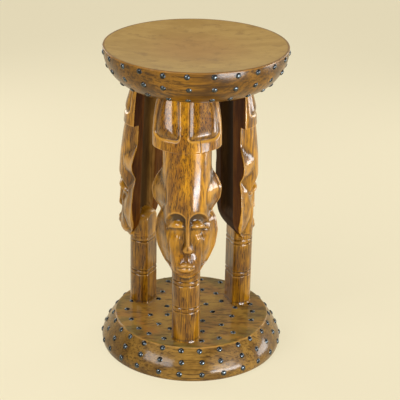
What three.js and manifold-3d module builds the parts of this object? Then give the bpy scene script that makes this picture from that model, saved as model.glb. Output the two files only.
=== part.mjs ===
// A carved wooden stool. A dished round seat lies on three carved figure pillars, which stand on a
// flared round base. Glued pegs hold the pillars, and rows of steel tacks trim seat and base.
// Millimetres, +Z up. The origin is the middle of the underside, and the front figure faces -Y.
import * as THREE from "three";
import Module from "manifold-3d";
import { mergeVertices } from "three/addons/utils/BufferGeometryUtils.js";

// Heights, from the floor up. Together they make the stool's height of 515 mm.
const base_height = 50.6;
const neck_height = 124.4;
const face_height = 113;
const forehead_height = 90.5;
const hat_height = 80.5;
const seat_height = 56;

// Clearances: the glue line between pieces, the slack round a peg, and how far cuts overrun.
const glue_line = 0.3;
const peg_slack = 0.3;
const overrun = 4;

// Base: a thick disc whose side bulges out towards the floor.
const base_radius = 149.7;
const base_top_radius = 126.8;
const base_sole_radius = 147.6;
const base_belly_height = 10;
const base_curve_share = 1.45;
const base_profile_shares = [0, 0.07, 0.165, 0.325, 0.5, 0.67, 0.82, 1];
const base_facets = 52;

// Seat: a disc with a nearly upright rim that turns in to a smaller underside, dished on top.
const seat_radius = 145;
const seat_underside_radius = 114;
const seat_rim_width = 3.5;
const seat_dish_depth = 9;
const seat_curve_shares = [2.3, 0.83];
const seat_profile_shares = [1, 0.97, 0.82, 0.61, 0.43, 0.23, 0];
const dish_profile_shares = [0, 0.3, 0.6, 0.84, 1];
const seat_facets = 48;

// Neck: a round post with a flat back, cut with two pairs of ring lines.
const neck_radius = 22.6;
const neck_flat_depth = 16.5;
const neck_rise = 44;
const neck_crown_height = 16;
const neck_crown_radius = 12;
const ring_width = 2;
const ring_depth = 1.1;
const ring_spacing = 7.5;
const lower_ring_share = 0.46;
const neck_facets = 14;

// Head: rounded in front, flat behind with a hollow down its back. Front depths are in front of
// the neck's middle line, and back depths are behind it.
const chin_back_depth = 3;
const crown_back_depth = 15;
const jaw_rise = 35;
const jaw_curl = 18;
const hollow_width = 46;
const hollow_depth = 9;
const hollow_rise = 30;
const hollow_facets = 10;
const chin_width = 28;
const mouth_width = 54;
const face_width = 72;
const forehead_width = 76;
const chin_depth = 27;
const face_depth = 41;
const forehead_depth = 28;
const head_roundness = 2.2;
const head_facets = 14;

// Side lobes: the head flares along its back edge, in two swellings with a notch between.
const wing_depth = 21;
const wing_edge_depth = 3;
const wing_curl = 8;
const wing_jaw_share = 0.3;
const wing_points = 5;
const lower_lobe_width = 99.5;
const wing_notch_width = 81;
const upper_lobe_width = 110;

// Hat: a wider cap of hair with a plain band, and two swollen locks parted by a strip.
const hat_width = 107;
const hat_top_width = 89;
const hat_depth = 29;
const hat_top_depth = 7;
const hat_roundness = 1.85;
const band_height = 19.5;
const border_width = 3.6;
const parting_width = 15.6;
const parting_offset = -4.4;
const lock_swell = 0.8;
const lock_groove_depth = 2.4;
const lock_groove_width = 2.2;
const lock_corner_radius = 9;

// Face: round-arched eye sockets, lidded eyes, hollow cheeks, a long nose and a small mouth.
const eye_spacing = 36;
const eye_offset = 1.2;
const nose_offset = 2.6;
const eye_width = 25;
const eye_height = 17;
const eye_bulge = 5;
const socket_width = 31;
const socket_height = 42;
const socket_depth = 7;
const cheek_width = 27;
const cheek_height = 62;
const cheek_depth = 5;
const nose_width = 15;
const nose_bridge_width = 6;
const nose_depth = 2.5;
const mouth_lip_width = 28;
const lip_height = 9;
const lip_depth = 3;
const ball_facets = 8;
const ball_levels = 5;

// Pegs: one glued dowel in each foot, and two in each head.
const foot_peg_radius = 8;
const foot_peg_depth = 20;
const head_peg_radius = 5;
const head_peg_depth = 22;
const head_peg_spread = 56;
const head_peg_back = 6.8;
const seat_peg_depth = 20;
const peg_chamfer = 1.5;
const peg_facets = 10;

// Tacks: low heads in rows round the seat and the base, and in rings over the base's top.
const tack_radius = 4.3;
const tack_rise = 2.6;
const tack_root = 1.2;
const tack_facets = 6;
const tack_clearance = 3;
const seat_tack_count = 24;
const seat_tack_row_shares = [0.134, 0.518, 0.89];
const base_tack_count = 26;
const base_tack_row_shares = [0.24, 0.59, 0.9];
const seat_tack_turn = -4.5;
const base_tack_turn = -6.5;
const top_tack_rings = [
  { radius_share: 0.33, count: 7, start_turn_share: 0.07 },
  { radius_share: 0.585, count: 13, start_turn_share: 0.042 },
  { radius_share: 0.835, count: 20, start_turn_share: 0.027 },
];

// The figures differ a little, as carved by hand. Each has its place as a turn round the stool and
// a share of the figures' radius, its own facing, sideways tilt and forward nod in degrees, how far
// its head is set back on its neck, how far the notch in its lobes is raised and what share of its
// full depth is left uncut on each side, how far aside the hollow in its back lies and how it leans
// in degrees, and the place of its upper rings as a share of the neck.
const figure_radius = 92;
const figures = [
  {
    name: "front", turn: -5.1, reach_share: 1, facing: 5.1, tilt: 0.5,
    nod: 0, set_back: 0, notch_rise: 0, uncut_shares: [0, 0],
    hollow_offset: 0, hollow_lean: 0, ring_share: 0.84,
  },
  {
    name: "right", turn: 119, reach_share: 0.965, facing: -5, tilt: 0,
    nod: 2.4, set_back: 14, notch_rise: 9, uncut_shares: [0, 0.9],
    hollow_offset: 11, hollow_lean: 3.7, ring_share: 0.93,
  },
  {
    name: "left", turn: -117, reach_share: 1, facing: 0, tilt: 0,
    nod: 0, set_back: 0, notch_rise: 11, uncut_shares: [0.9, 0],
    hollow_offset: -2, hollow_lean: 0, ring_share: 0.95,
  },
];

// Sizes that follow from the ones above.
const figure_height = neck_height + face_height + forehead_height + hat_height;
const seat_underside = base_height + figure_height;
const seat_top = seat_underside + seat_height;
const chin_level = neck_height;
const brow_level = chin_level + face_height;
const hat_level = brow_level + forehead_height;
const pillar_height = figure_height - 2 * glue_line;

const wasm = await Module();
wasm.setup();

// A closed mesh with its shared corners merged becomes a solid that can be joined and cut.
function solid(geometry) {
  const bare = geometry.clone();
  bare.deleteAttribute("normal");
  bare.deleteAttribute("uv");
  const merged = mergeVertices(bare);
  const corners = [];
  const index = merged.index.array;
  for (let i = 0; i < index.length; i += 3) {
    const [a, b, c] = [index[i], index[i + 1], index[i + 2]];
    if (a !== b && b !== c && c !== a) corners.push(a, b, c);
  }
  const vertProperties = Float32Array.from(merged.attributes.position.array);
  const mesh = new wasm.Mesh({ numProp: 3, vertProperties, triVerts: Uint32Array.from(corners) });
  return new wasm.Manifold(mesh);
}

// A solid goes back to a three.js geometry.
function geometryOf(body) {
  const mesh = body.getMesh();
  const geometry = new THREE.BufferGeometry();
  geometry.setAttribute("position", new THREE.BufferAttribute(Float32Array.from(mesh.vertProperties), 3));
  geometry.setIndex(Array.from(mesh.triVerts));
  geometry.computeVertexNormals();
  return geometry;
}

// A profile of [radius, height] pairs is turned round the upright axis.
function turned(profile, facets) {
  const points = profile.map(([radius, height]) => new THREE.Vector2(radius, height));
  return new THREE.LatheGeometry(points, facets).rotateX(Math.PI / 2).rotateZ(Math.PI / facets);
}

// A skin over rings of matching points. Each end is closed flat, seen along the stacking axis.
function loft(rings, flatten) {
  const count = rings[0].length;
  const corners = [];
  for (let level = 0; level + 1 < rings.length; level += 1) {
    for (let i = 0; i < count; i += 1) {
      const here = level * count + i;
      const next = level * count + ((i + 1) % count);
      corners.push(here, next, next + count, here, next + count, here + count);
    }
  }
  const last = (rings.length - 1) * count;
  for (const [a, b, c] of THREE.ShapeUtils.triangulateShape(rings[0].map(flatten), [])) {
    corners.push(c, b, a);
    corners.push(a + last, b + last, c + last);
  }
  const geometry = new THREE.BufferGeometry();
  geometry.setFromPoints(rings.flat());
  geometry.setIndex(corners);
  return geometry;
}

const fromAbove = (point) => new THREE.Vector2(point.x, point.y);
const fromBehind = (point) => new THREE.Vector2(-point.x, point.z);
const mix = THREE.MathUtils.lerp;
const power = (value, share) => Math.sign(value) * Math.abs(value) ** share;

// A ball stretched to a width, depth and height, at a place on the figure.
function ellipsoid(width, depth, height, x, y, z) {
  const ball = new THREE.SphereGeometry(1, ball_facets, ball_levels).rotateX(Math.PI / 2);
  return solid(ball.scale(width / 2, depth, height / 2).translate(x, y, z));
}

// The line that the head's back slopes along: how far it lies behind the neck's middle line.
function backSlope(height) {
  const share = (height - chin_level) / (figure_height - chin_level);
  return mix(chin_back_depth, crown_back_depth, share);
}

// The back follows that line, and tucks in under the jaw.
function backDepth(height) {
  const tuck = Math.max(0, 1 - (height - chin_level) / jaw_rise) ** 2;
  return backSlope(height) - jaw_curl * tuck;
}

// One level of the head: a flat back, and a rounded front.
function headRing(half_width, front_depth, height, roundness = head_roundness) {
  const back_depth = backDepth(height);
  const depth = front_depth + back_depth;
  const ring = [];
  for (let i = head_facets; i >= 0; i -= 1) {
    const turn = (Math.PI * i) / head_facets;
    const x = half_width * power(Math.cos(turn), 2 / roundness);
    const y = back_depth - depth * power(Math.sin(turn), 2 / roundness);
    ring.push(new THREE.Vector3(x, y, height));
  }
  return ring;
}

// The neck is turned with its ring lines, and a slab is cut off its back.
function neck(figure) {
  const top = chin_level + neck_rise;
  const profile = [[0, -overrun], [neck_radius, -overrun]];
  for (const share of [lower_ring_share, figure.ring_share]) {
    for (const side of [-1, 1]) {
      const middle = neck_height * share + (side * ring_spacing) / 2;
      profile.push([neck_radius, middle - ring_width / 2]);
      profile.push([neck_radius - ring_depth, middle]);
      profile.push([neck_radius, middle + ring_width / 2]);
    }
  }
  profile.push([neck_radius, top - neck_crown_height], [neck_crown_radius, top], [0, top]);
  const slab_depth = neck_radius;
  const slab_height = top + 3 * overrun;
  const slab = new THREE.BoxGeometry(4 * neck_radius, slab_depth, slab_height);
  slab.translate(0, neck_flat_depth + slab_depth / 2, slab_height / 2 - 2 * overrun);
  return solid(turned(profile, neck_facets)).subtract(solid(slab));
}

// The face and forehead rise from the chin, widening, and lean back towards the hat.
function headCore() {
  const face = (share) => mix(chin_level, brow_level, share);
  const forehead = (share) => mix(brow_level, hat_level, share);
  const rings = [
    headRing(chin_width / 2, chin_depth, face(-0.04)),
    headRing(mix(chin_width, mouth_width, 0.5) / 2, mix(chin_depth, face_depth, 0.55), face(0.01)),
    headRing(mix(chin_width, mouth_width, 0.8) / 2, mix(chin_depth, face_depth, 0.9), face(0.07)),
    headRing(mouth_width / 2, face_depth, face(0.17)),
    headRing(mix(mouth_width, face_width, 0.45) / 2, face_depth, face(0.34)),
    headRing(mix(mouth_width, face_width, 0.8) / 2, face_depth, face(0.54)),
    headRing(face_width / 2, face_depth, face(0.76)),
    headRing(mix(face_width, forehead_width, 0.5) / 2, face_depth, face(1)),
    headRing(forehead_width / 2, mix(face_depth, forehead_depth, 0.22), forehead(0.35)),
    headRing(forehead_width / 2, mix(face_depth, forehead_depth, 0.6), forehead(0.7)),
    headRing(forehead_width / 2, forehead_depth, forehead(1) + overrun),
  ];
  return solid(loft(rings, fromAbove));
}

// One side of the wing's outline, as half widths and heights from under the chin to beside the
// forehead. Where a side is left uncut, its edge runs on full and nearly straight up to the hat.
function wingSide(width_share, notch_rise, uncut_share) {
  const face = (share) => mix(chin_level, brow_level, share);
  const forehead = (share) => mix(brow_level, hat_level, share);
  const notch_level = face(0.88) + notch_rise;
  const rise_level = mix(notch_level, forehead(0.26), 0.5);
  const notch_width = mix(wing_notch_width, upper_lobe_width, uncut_share);
  const end_width = mix(forehead_width, upper_lobe_width, uncut_share);
  const end_share = mix(0.62, 1, uncut_share);
  const lower = new THREE.SplineCurve([
    new THREE.Vector2(neck_radius * 0.9, face(-0.02)),
    new THREE.Vector2(mix(neck_radius, lower_lobe_width / 2, 0.45), face(0.15)),
    new THREE.Vector2(mix(neck_radius, lower_lobe_width / 2, 0.85), face(0.36)),
    new THREE.Vector2(lower_lobe_width / 2, face(0.57)),
    new THREE.Vector2(notch_width / 2, notch_level),
  ]);
  const upper = new THREE.SplineCurve([
    new THREE.Vector2(notch_width / 2, notch_level),
    new THREE.Vector2(mix(notch_width, upper_lobe_width, 0.85) / 2, rise_level),
    new THREE.Vector2(upper_lobe_width / 2, forehead(0.26) + notch_rise / 3),
    new THREE.Vector2(mix(end_width, upper_lobe_width, 0.5) / 2, forehead(mix(0.26, end_share, 0.6))),
    new THREE.Vector2(end_width / 2, forehead(end_share)),
  ]);
  const edge = [...lower.getPoints(wing_points), ...upper.getPoints(wing_points).slice(1)];
  return edge.map((point) => new THREE.Vector2(point.x * width_share, point.y));
}

// The wing's whole outline, up one side and down the other.
function wingOutline(width_share, figure) {
  const [left_share, right_share] = figure.uncut_shares;
  const left = wingSide(width_share, figure.notch_rise, left_share);
  const right = wingSide(width_share, figure.notch_rise, right_share);
  return [...left.map((point) => new THREE.Vector2(-point.x, point.y)), ...right.reverse()];
}

// The wing lies along the head's back. Its lower end curls forward round the jaw and thins there,
// and it narrows where it runs into the side of the head.
function wing(figure) {
  const lobe_level = mix(chin_level, brow_level, 0.57);
  const ringAt = (width_share, forward) =>
    wingOutline(width_share, figure).map((point) => {
      const drop = Math.max(0, (lobe_level - point.y) / (lobe_level - chin_level));
      const thickness = Math.min(forward + wing_curl * drop, wing_depth);
      const tucked = backDepth(point.y) - thickness * wing_jaw_share;
      return new THREE.Vector3(point.x, Math.min(backSlope(point.y) - thickness, tucked), point.y);
    });
  const narrow_share = (wing_notch_width - wing_edge_depth) / upper_lobe_width;
  const rings = [ringAt(narrow_share, wing_depth), ringAt(1, wing_edge_depth), ringAt(1, 0)];
  return solid(loft(rings, fromBehind));
}

// A gouged hollow runs down the head's back, from just under the pegs to just above the neck.
function backHollow(figure) {
  const bottom = chin_level + hollow_rise;
  const height = pillar_height - head_peg_depth - overrun - bottom;
  const middle = bottom + height / 2;
  const slope = Math.atan2(crown_back_depth - chin_back_depth, figure_height - chin_level);
  const gouge = new THREE.CylinderGeometry(1, 1, height, hollow_facets).rotateX(Math.PI / 2);
  gouge.scale(hollow_width / 2, hollow_depth, 1).rotateX(-slope);
  gouge.rotateY(THREE.MathUtils.degToRad(figure.hollow_lean));
  return solid(gouge.translate(figure.hollow_offset, backDepth(middle), middle));
}

// One skin of the hat, grown or shrunk by an amount all round its front and sides.
function hatSkin(growth) {
  const level = (share) => mix(hat_level, figure_height, share);
  const width = (share) => mix(hat_width, hat_top_width, share) / 2 + growth;
  const depth = (share) => mix(hat_depth, hat_top_depth, share) + growth;
  const rings = [
    headRing(width(0), depth(0), level(0), hat_roundness),
    headRing(width(0.02), depth(0.16), level(0.3), hat_roundness),
    headRing(width(0.18), depth(0.5), level(0.55), hat_roundness),
    headRing(width(0.5), depth(0.8), level(0.8), hat_roundness),
    headRing(width(1), depth(1), level(1) + overrun, hat_roundness),
  ];
  return solid(loft(rings, fromAbove));
}

// The outline of a lock of hair, grown by a margin, pushed through the front of the hat. A wider
// cutter stops a little short of a narrower one, so that no two backs meet.
function lockCutter(inner, outer, margin) {
  const bottom = hat_level + band_height - margin;
  const top = figure_height + 3 * overrun;
  const taper = (hat_width - hat_top_width) / 2;
  const side = Math.sign(outer);
  const near = inner - side * margin;
  const far = outer + side * margin;
  const corner = side * lock_corner_radius;
  const shape = new THREE.Shape();
  shape.moveTo(near, top);
  shape.lineTo(near, bottom + lock_corner_radius / 2);
  shape.quadraticCurveTo(near, bottom, near + corner / 2, bottom);
  shape.lineTo(far - corner, bottom);
  shape.quadraticCurveTo(far, bottom, far, bottom + lock_corner_radius);
  shape.lineTo(far, mix(bottom, top, 0.3));
  shape.lineTo(far - side * taper, top);
  const options = { depth: hat_depth + 3 * overrun, bevelEnabled: false, curveSegments: 4 };
  const cutter = new THREE.ExtrudeGeometry(shape, options).rotateX(Math.PI / 2);
  return solid(cutter.translate(0, overrun - margin, 0));
}

// The hat: a frame with a groove cut round each lock, and the locks swelling out of it.
function hat() {
  const edge = hat_width / 2 - border_width;
  const locks = [
    [parting_offset - parting_width / 2, -edge],
    [parting_offset + parting_width / 2, edge],
  ];
  let body = hatSkin(0);
  for (const [inner, outer] of locks) body = body.subtract(lockCutter(inner, outer, lock_groove_width));
  body = body.add(hatSkin(-lock_groove_depth));
  const swollen = hatSkin(lock_swell);
  for (const [inner, outer] of locks) body = body.add(swollen.intersect(lockCutter(inner, outer, 0)));
  return body;
}

// How far forward the head's front lies at a place to one side of its middle.
function frontAt(half_width, front_depth, x) {
  const back_depth = backDepth(brow_level);
  const depth = front_depth + back_depth;
  return back_depth - depth * (1 - (x / half_width) ** head_roundness) ** (1 / head_roundness);
}

// The nose is a wedge that widens and stands out further towards its tip.
function nose() {
  const level = (share) => mix(chin_level, brow_level, share);
  const ring = (half_width, ridge, height) => [
    new THREE.Vector3(nose_offset - half_width, -face_depth + overrun, height),
    new THREE.Vector3(nose_offset - half_width / 3, -face_depth - ridge, height),
    new THREE.Vector3(nose_offset + half_width / 3, -face_depth - ridge, height),
    new THREE.Vector3(nose_offset + half_width, -face_depth + overrun, height),
  ];
  const rings = [
    ring(nose_width / 2, nose_depth * 0.4, level(0.39)),
    ring(nose_width / 2, nose_depth, level(0.43)),
    ring(nose_bridge_width / 2, nose_depth * 0.5, level(0.8)),
    ring(nose_bridge_width / 2, 0, level(0.95)),
  ];
  return solid(loft(rings, fromAbove));
}

// The face is carved into the head: sockets and cheeks are hollowed, then eyes, nose and lips stand
// out of them.
function carved(head) {
  const level = (share) => mix(chin_level, brow_level, share);
  const socket_level = brow_level - socket_height / 2;
  const eye_front = frontAt(face_width / 2, face_depth, eye_spacing / 2);
  let face = head;
  for (const side of [-1, 1]) {
    const x = eye_offset + (side * eye_spacing) / 2;
    face = face.subtract(ellipsoid(socket_width, socket_depth, socket_height, x, eye_front, socket_level));
    face = face.subtract(ellipsoid(cheek_width, cheek_depth, cheek_height, x, eye_front, level(0.6)));
  }
  for (const side of [-1, 1]) {
    const x = eye_offset + (side * eye_spacing) / 2;
    face = face.add(ellipsoid(eye_width, eye_bulge, eye_height, x, eye_front + eye_bulge, level(0.735)));
  }
  const upper_lip = ellipsoid(mouth_lip_width, lip_depth, lip_height, 0, -face_depth, level(0.2));
  const lower_lip = ellipsoid(mouth_lip_width * 0.86, lip_depth, lip_height, 0, -face_depth, level(0.135));
  return face.add(nose()).add(upper_lip).add(lower_lip);
}

// A round rod between two heights, for a peg or, with slack added, for its socket.
function rod(radius, low, high, chamfer) {
  const profile = [
    [0, low],
    [radius - chamfer, low],
    [radius, low + chamfer],
    [radius, high - chamfer],
    [radius - chamfer, high],
    [0, high],
  ];
  return turned(profile, peg_facets);
}

// The places of a figure's two head pegs on its top, which its tilt and nod have moved.
function headPegs(figure) {
  const aside = pillar_height * Math.tan(-THREE.MathUtils.degToRad(figure.tilt));
  const forward = (pillar_height - brow_level) * Math.tan(THREE.MathUtils.degToRad(figure.nod));
  const back = figure.set_back + head_peg_back - forward;
  return [-1, 1].map((side) => new THREE.Vector2((side * head_peg_spread) / 2 + aside, back));
}

// The head with its hat, hollowed behind, nodding about its brow and set back on the neck.
function head(figure) {
  const joined = carved(headCore().add(wing(figure))).add(hat()).subtract(backHollow(figure));
  const nodding = geometryOf(joined).translate(0, 0, -brow_level);
  nodding.rotateX(THREE.MathUtils.degToRad(figure.nod));
  return solid(nodding.translate(0, figure.set_back, brow_level));
}

// A pillar stands on its own foot at height zero: it is joined, tilted, trimmed flat and bored.
function pillar(figure) {
  const joined = geometryOf(neck(figure).add(head(figure)));
  const tilted = solid(joined.rotateY(-THREE.MathUtils.degToRad(figure.tilt)));
  const reach = 4 * hat_width;
  const slab = new THREE.BoxGeometry(reach, reach, pillar_height).translate(0, 0, pillar_height / 2);
  let body = tilted.intersect(solid(slab));
  body = body.subtract(solid(rod(foot_peg_radius + peg_slack, -overrun, foot_peg_depth + glue_line, 0)));
  for (const place of headPegs(figure)) {
    const low = pillar_height - head_peg_depth - glue_line;
    const socket = rod(head_peg_radius + peg_slack, low, pillar_height + overrun, 0);
    body = body.subtract(solid(socket.translate(place.x, place.y, 0)));
  }
  return geometryOf(body);
}

// Turns and moves from the pillar's own frame to the stool's.
function placeOf(figure) {
  const reach = figure_radius * figure.reach_share;
  const place = new THREE.Matrix4().makeRotationZ(THREE.MathUtils.degToRad(figure.turn));
  place.multiply(new THREE.Matrix4().makeTranslation(0, -reach, base_height + glue_line));
  return place.multiply(new THREE.Matrix4().makeRotationZ(THREE.MathUtils.degToRad(figure.facing)));
}

// The base's radius at a height, as a share from the floor to its top edge.
function baseRadius(share) {
  const belly_share = base_belly_height / base_height;
  if (share < belly_share) return mix(base_sole_radius, base_radius, Math.sqrt(share / belly_share));
  const rise = (share - belly_share) / (1 - belly_share);
  return mix(base_radius, base_top_radius, rise ** base_curve_share);
}

// The seat's radius at a depth below its rim, as a share of its height.
function seatRadius(share) {
  const [bend, close] = seat_curve_shares;
  return mix(seat_underside_radius, seat_radius, (1 - share ** bend) ** close);
}

// A tack's low head on the spot, pointing outwards along a slope from level to straight up.
function tack(radius, height, slope, turn) {
  const profile = [[0, -tack_root], [tack_radius, -tack_root], [0, tack_rise]];
  const head = turned(profile, tack_facets).rotateY(Math.PI / 2 - slope);
  return solid(head.translate(radius, 0, height).rotateZ(turn - Math.PI / 2));
}

// A row of tacks round a turned side, at a level. Each sits on the side's own flats, which lie a
// little inside the circle through its corners.
function tackRow(body, profile, facets, count, start_turn, level) {
  const above = profile.findIndex(([, height]) => height >= level);
  const [low_radius, low_height] = profile[above - 1];
  const [high_radius, high_height] = profile[above];
  const share = (level - low_height) / (high_height - low_height);
  const radius = mix(low_radius, high_radius, share) * Math.cos(Math.PI / facets);
  const slope = Math.atan2(low_radius - high_radius, high_height - low_height);
  let trimmed = body;
  for (let i = 0; i < count; i += 1) {
    const turn = (2 * Math.PI * i) / count + THREE.MathUtils.degToRad(start_turn);
    trimmed = trimmed.add(tack(radius, level, slope, turn));
  }
  return trimmed;
}

// True where a tack would meet one of the figures' feet.
function underFoot(x, y) {
  return figures.some((figure) => {
    const foot = new THREE.Vector3().applyMatrix4(placeOf(figure));
    return Math.hypot(x - foot.x, y - foot.y) < neck_radius + tack_radius + tack_clearance;
  });
}

// The rings of tacks over the base's top leave out the places where the figures stand.
function topTacks(body) {
  let trimmed = body;
  for (const ring of top_tack_rings) {
    for (let i = 0; i < ring.count; i += 1) {
      const turn = 2 * Math.PI * (i / ring.count + ring.start_turn_share);
      const radius = base_top_radius * ring.radius_share;
      if (underFoot(radius * Math.sin(turn), -radius * Math.cos(turn))) continue;
      trimmed = trimmed.add(tack(radius, base_height, Math.PI / 2, turn));
    }
  }
  return trimmed;
}

// A turned body is sawn flat at a bottom and a top level, with overruns past both.
function sawn(profile, facets, low, high) {
  const below = [[0, low - overrun], [profile[0][0], low - overrun]];
  const above = [[profile[profile.length - 1][0], high + overrun], [0, high + overrun]];
  const outline = [...below, ...profile, ...above];
  const reach = 4 * seat_radius;
  const slab = new THREE.BoxGeometry(reach, reach, high - low).translate(0, 0, (low + high) / 2);
  return solid(turned(outline, facets)).intersect(solid(slab));
}

// The base is turned, trimmed with tacks and bored for the foot pegs.
function base() {
  const levelAt = (share) => base_height * share;
  const profile = base_profile_shares.map((share) => [baseRadius(share), levelAt(share)]);
  let body = sawn(profile, base_facets, 0, base_height);
  for (const share of base_tack_row_shares) {
    body = tackRow(body, profile, base_facets, base_tack_count, base_tack_turn, levelAt(share));
  }
  body = topTacks(body);
  for (const figure of figures) {
    const low = -foot_peg_depth - 2 * glue_line;
    const socket = rod(foot_peg_radius + peg_slack, low, overrun, 0);
    body = body.subtract(solid(socket.applyMatrix4(placeOf(figure))));
  }
  return geometryOf(body);
}

// The seat is turned with its dish, trimmed with tacks and bored for the head pegs.
function seat() {
  const levelAt = (share) => seat_top - seat_height * share;
  const profile = seat_profile_shares.map((share) => [seatRadius(share), levelAt(share)]);
  const dish_radius = seat_radius - seat_rim_width;
  const dishLevel = (share) => seat_top - seat_dish_depth * (1 - share ** 2);
  const bowl = dish_profile_shares.map((share) => [dish_radius * share, dishLevel(share)]);
  bowl.push([dish_radius, seat_top + 2 * overrun], [0, seat_top + 2 * overrun]);
  let body = sawn(profile, seat_facets, seat_underside, seat_top);
  body = body.subtract(solid(turned(bowl, seat_facets)));
  for (const share of seat_tack_row_shares) {
    body = tackRow(body, profile, seat_facets, seat_tack_count, seat_tack_turn, levelAt(share));
  }
  for (const figure of figures) {
    for (const place of headPegs(figure)) {
      const high = pillar_height + seat_peg_depth + glue_line;
      const socket = rod(head_peg_radius + peg_slack, pillar_height - overrun, high, 0);
      socket.translate(place.x, place.y, 0);
      body = body.subtract(solid(socket.applyMatrix4(placeOf(figure))));
    }
  }
  return geometryOf(body);
}

const sealed_wood = new THREE.MeshStandardMaterial({ color: 0xa2752d, roughness: 0.35, metalness: 0 });
const pillar_wood = new THREE.MeshStandardMaterial({ color: 0xb07f2e, roughness: 0.3, metalness: 0 });
const peg_wood = new THREE.MeshStandardMaterial({ color: 0xc9a36a, roughness: 0.7, metalness: 0 });

const stool = new THREE.Group();

function piece(name, geometry, material) {
  const mesh = new THREE.Mesh(geometry, material.clone());
  mesh.name = name;
  return mesh;
}

stool.add(piece("base", base(), sealed_wood));
stool.add(piece("seat", seat(), sealed_wood));

for (const figure of figures) {
  const group = new THREE.Group();
  group.applyMatrix4(placeOf(figure));
  group.add(piece(`figure_pillar_${figure.name}`, pillar(figure), pillar_wood));
  const foot_peg = rod(foot_peg_radius, -foot_peg_depth - glue_line, foot_peg_depth, peg_chamfer);
  group.add(piece(`foot_peg_${figure.name}`, geometryOf(solid(foot_peg)), peg_wood));
  const low = pillar_height - head_peg_depth;
  const high = pillar_height + seat_peg_depth;
  headPegs(figure).forEach((place, i) => {
    const peg = rod(head_peg_radius, low, high, peg_chamfer).translate(place.x, place.y, 0);
    group.add(piece(`head_peg_${figure.name}_${i + 1}`, geometryOf(solid(peg)), peg_wood));
  });
  stool.add(group);
}

export default stool;
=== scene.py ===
import math
import random

import bpy
import numpy as np
from mathutils import Matrix, Vector


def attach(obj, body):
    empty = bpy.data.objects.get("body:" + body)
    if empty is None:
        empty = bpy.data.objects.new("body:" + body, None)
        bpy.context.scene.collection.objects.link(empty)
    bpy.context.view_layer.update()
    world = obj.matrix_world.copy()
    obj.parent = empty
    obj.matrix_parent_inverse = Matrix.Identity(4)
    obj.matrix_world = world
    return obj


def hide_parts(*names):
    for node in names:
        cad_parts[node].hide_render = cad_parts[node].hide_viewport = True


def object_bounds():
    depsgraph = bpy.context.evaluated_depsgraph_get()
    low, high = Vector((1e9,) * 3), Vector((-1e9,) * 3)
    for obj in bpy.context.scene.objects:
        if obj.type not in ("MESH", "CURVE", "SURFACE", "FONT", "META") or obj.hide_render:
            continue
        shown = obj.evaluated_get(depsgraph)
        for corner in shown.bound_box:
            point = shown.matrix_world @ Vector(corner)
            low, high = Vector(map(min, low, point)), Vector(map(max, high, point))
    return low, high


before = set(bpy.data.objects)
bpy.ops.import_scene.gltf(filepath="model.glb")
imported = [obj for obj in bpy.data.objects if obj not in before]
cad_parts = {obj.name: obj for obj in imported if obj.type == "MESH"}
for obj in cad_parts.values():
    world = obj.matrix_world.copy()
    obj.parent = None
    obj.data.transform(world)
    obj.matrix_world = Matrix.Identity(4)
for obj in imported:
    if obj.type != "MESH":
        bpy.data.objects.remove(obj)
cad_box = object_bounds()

# The studio: a plain pale floor that curves up into a plain pale backdrop behind the stool. It is
# painted board, matt, in a warm off-white, and it glows evenly to the camera.
studio_width = 60.0
studio_front = -30.0
studio_back = 3.2
studio_height = 4.0
studio_curve = 1.2
board_glow = 0.72
low_lamp_height = 0.5


def linear(code):
    """A colour from its sRGB hex code to the linear values that a shader takes."""
    parts = [int(code[i : i + 2], 16) / 255 for i in (1, 3, 5)]
    return [p / 12.92 if p <= 0.04045 else ((p + 0.055) / 1.055) ** 2.4 for p in parts] + [1.0]


def add_node(tree, kind, inputs=None, **settings):
    """Adds a node, sets its properties, then gives its inputs a value or a link."""
    node = tree.nodes.new("ShaderNode" + kind)
    for name, value in settings.items():
        setattr(node, name, value)
    for name, value in (inputs or {}).items():
        if isinstance(value, bpy.types.NodeSocket):
            tree.links.new(value, node.inputs[name])
        else:
            node.inputs[name].default_value = value
    return node


def math_node(operation, first, second):
    """One sum on a socket and a second socket or value."""
    return add_node(first.id_data, "Math", {0: first, 1: second}, operation=operation).outputs[0]


def new_material(name, **constants):
    """A material with one Principled shader whose plain sockets are set by name."""
    material = bpy.data.materials.new(name)
    material.use_nodes = True
    shader = material.node_tree.nodes["Principled BSDF"]
    for socket, value in constants.items():
        shader.inputs[socket.replace("_", " ")].default_value = value
    return material, shader


def start_piece(name):
    """Names the primitive that was just added, and puts its place into its mesh."""
    piece = bpy.context.object
    piece.name = name
    piece.data.name = name
    bpy.ops.object.transform_apply(location=True, rotation=True, scale=True)
    return piece


def edit(action="SELECT"):
    """Opens the active piece in edit mode, with all of its mesh selected or none."""
    bpy.ops.object.mode_set(mode="EDIT")
    bpy.ops.mesh.select_all(action=action)


def stop_editing():
    bpy.ops.object.mode_set(mode="OBJECT")


def deselect():
    bpy.ops.object.select_all(action="DESELECT")


deselect()
bpy.ops.mesh.primitive_plane_add(size=1, location=(0, 0, 0))
studio = start_piece("studio_floor")
studio.data.transform(Matrix.Diagonal((studio_width, studio_back - studio_front, 1, 1)))
studio.data.transform(Matrix.Translation((0, (studio_front + studio_back) / 2, 0)))
edit("DESELECT")
bpy.ops.mesh.select_mode(type="EDGE")
stop_editing()
for edge in studio.data.edges:
    edge.select = all(studio.data.vertices[i].co.y > 0 for i in edge.vertices)
bpy.ops.object.mode_set(mode="EDIT")
bpy.ops.mesh.extrude_region_move(TRANSFORM_OT_translate={"value": (0, 0, studio_height)})
stop_editing()
bend = studio.modifiers.new("curve", "BEVEL")
bend.width = studio_curve
bend.segments = 24
bpy.ops.object.modifier_apply(modifier="curve")
bpy.ops.object.shade_smooth()

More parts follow.
